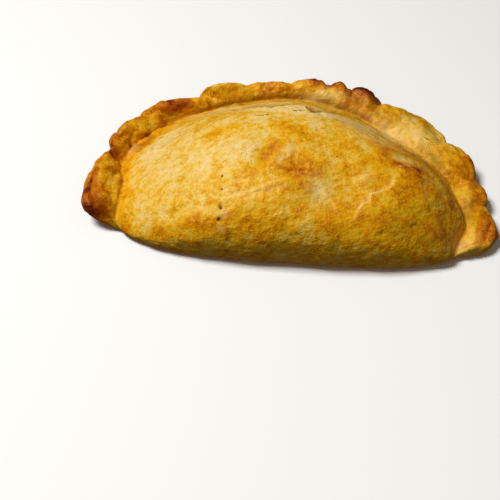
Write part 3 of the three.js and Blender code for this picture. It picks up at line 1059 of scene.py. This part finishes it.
def crust_finish(shaded_pit_lines, edge_lines):
    finish = Finish("baked_crust")
    marks = dict(
        browning=finish.mask("browning"),
        blotch=finish.patches(**BLOTCH),
        mottle=finish.patches(**MOTTLE),
        streak=finish.noise(**STREAK),
        speckle=finish.noise(**SPECKLE),
        grain=finish.noise(**GRAIN),
    )

    def blend(level=0.0, **amounts):
        return sum(marks[name] * amount for name, amount in amounts.items()) + level

    # Browner crust is more even, and gets less pale
    change = blend(**CHANGE) * blend(**CHANGE_SHARE).clamped()
    baked = marks["browning"] + change.math("MAXIMUM", change, blend(**PALEST_CHANGE))
    ramp = dict(stops=BROWNING_STOPS)
    colour = finish.node("ShaderNodeValToRGB", ramp, {"Fac": baked.clamped()})

    # Pale flecks and painted glints on golden crust, then brown crumbs and crackle on pale crust
    flecks_and_glints = blend(**FLECKS_AND_GLINTS).clamped() * blend(**GOLDEN).clamped() * COVER["fleck_and_glint"]
    colour = finish.mix(flecks_and_glints, colour, FLECK_AND_GLINT_COLOUR)
    crumbs = blend(**CRUMBS).clamped() * COVER["crumb"]
    crackle = finish.cracks(**CRACKLE) * blend(**CRACKED).clamped() * COVER["crackle"]
    colour = finish.mix((crumbs + crackle) * blend(**PALE).clamped(), colour, CRUMB_COLOUR)

    # Painted shade in dull gold, flaky dough, broken edges of flakes, and pits in painted shade
    colour = finish.mix(finish.mask("shade") * COVER["shade"], colour, PAINTED_SHADE_COLOUR)
    flaky = (finish.mask("dough") * blend(**FLAKY)).clamped()
    colour = finish.mix(flaky, colour, DOUGH_COLOUR)
    edges = finish.drawn(edge_lines, blend(**EDGES_RAGGED)) * COVER["edge"]
    colour = finish.mix(edges, colour, EDGE_COLOUR)
    shaded_pits = finish.drawn(shaded_pit_lines, blend(**PITS_RAGGED))
    colour = finish.mix(shaded_pits, colour, PIT_SHADE_COLOUR)

    bump = finish.node("ShaderNodeBump", None, {"Height": blend(**BUMP_HEIGHT), **BUMP})
    rough = (blend(**ROUGHNESS) + flaky * DOUGH_ROUGHER).clamped()
    finish.set(Base_Color=colour, Roughness=rough, Normal=bump)
    finish.set(Specular_IOR_Level=SHEEN, Specular_Tint=SHEEN_TINT)
    return finish.material


def make_pie():
    noise.seed_set(RAGGED_SEED)
    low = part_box("crust")[0]
    solid_low = Form(SOLID_STEPS).places.reshape(-1, 3).min(0)
    skin = Form(CRUST_STEPS)
    skin.fillet_seam(**SEAM_FILLET)
    crust = Crust(skin)
    places = (crust.raised() - solid_low) * MM + np.array(low)
    pie = bpy.data.objects.new("pie_crust", crust_mesh(crust, places))
    bpy.context.scene.collection.objects.link(pie)
    pie.data.materials.append(crust_finish(*crust_marks(crust, places)))
    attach(pie, "root")
    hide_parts("crust")


# Stage: a pale floor, soft light from the upper left, and the camera of the photograph, with its angles in
# degrees, its focal length and frame in pixels, and its sensor in millimetres
FLOOR_HALF = 3.0
FLOOR_COLOUR = (0.95, 0.95, 0.945, 1.0)
FLOOR_ROUGHNESS = 0.9
CAMERA = dict(elevation=44.0, yaw=5.5, distance=0.445, focal=933.0, frame=500.0, sensor=36.0)
LOOK_AT = Vector((-0.0159, -0.0494, 0.0))
KEY_LIGHT = dict(place=(-0.70, -0.10, 1.30), size=0.50, watts=21.2)
FILL_LIGHT = dict(place=(0.20, -0.50, 0.60), size=0.60, watts=0.2)
SKY = (1.0, 0.90, 0.64, 1.0)
SKY_STRENGTH = 0.125


def make_floor():
    corners = [(x * FLOOR_HALF, y * FLOOR_HALF, 0) for x, y in ((-1, -1), (1, -1), (1, 1), (-1, 1))]
    mesh = bpy.data.meshes.new("floor")
    mesh.from_pydata(corners, [], [(0, 1, 2, 3)])
    floor = bpy.data.objects.new("floor", mesh)
    bpy.context.scene.collection.objects.link(floor)
    finish = Finish("pale_floor")
    finish.set(Base_Color=FLOOR_COLOUR, Roughness=FLOOR_ROUGHNESS)
    mesh.materials.append(finish.material)
    # The floor throws no light on the crust, so that its low parts stay dark
    floor.visible_diffuse = False
    floor.visible_glossy = False


def make_light(name, place, size, watts):
    light = bpy.data.lights.new(name, "AREA")
    light.size = size
    light.energy = watts
    lamp = bpy.data.objects.new(name, light)
    lamp.location = place
    lamp.rotation_euler = (-Vector(place)).to_track_quat("-Z", "Y").to_euler()
    bpy.context.scene.collection.objects.link(lamp)


def make_sky():
    world = bpy.data.worlds.new("sky")
    world.use_nodes = True
    background = world.node_tree.nodes["Background"]
    background.inputs["Color"].default_value = SKY
    background.inputs["Strength"].default_value = SKY_STRENGTH
    bpy.context.scene.world = world


def make_camera():
    camera = bpy.data.cameras.new("camera")
    camera.sensor_width = CAMERA["sensor"]
    camera.lens = CAMERA["focal"] * CAMERA["sensor"] / CAMERA["frame"]
    elevation, yaw = math.radians(CAMERA["elevation"]), math.radians(CAMERA["yaw"])
    level = math.cos(elevation)
    back = Vector((math.sin(yaw) * level, -math.cos(yaw) * level, math.sin(elevation)))
    holder = bpy.data.objects.new("camera", camera)
    holder.location = LOOK_AT + back * CAMERA["distance"]
    holder.rotation_euler = (-back).to_track_quat("-Z", "Y").to_euler()
    bpy.context.scene.collection.objects.link(holder)
    bpy.context.scene.camera = holder


make_pie()
make_floor()
make_light("key_light", **KEY_LIGHT)
make_light("fill_light", **FILL_LIGHT)
make_sky()
make_camera()
bpy.context.scene.view_settings.view_transform = "Standard"
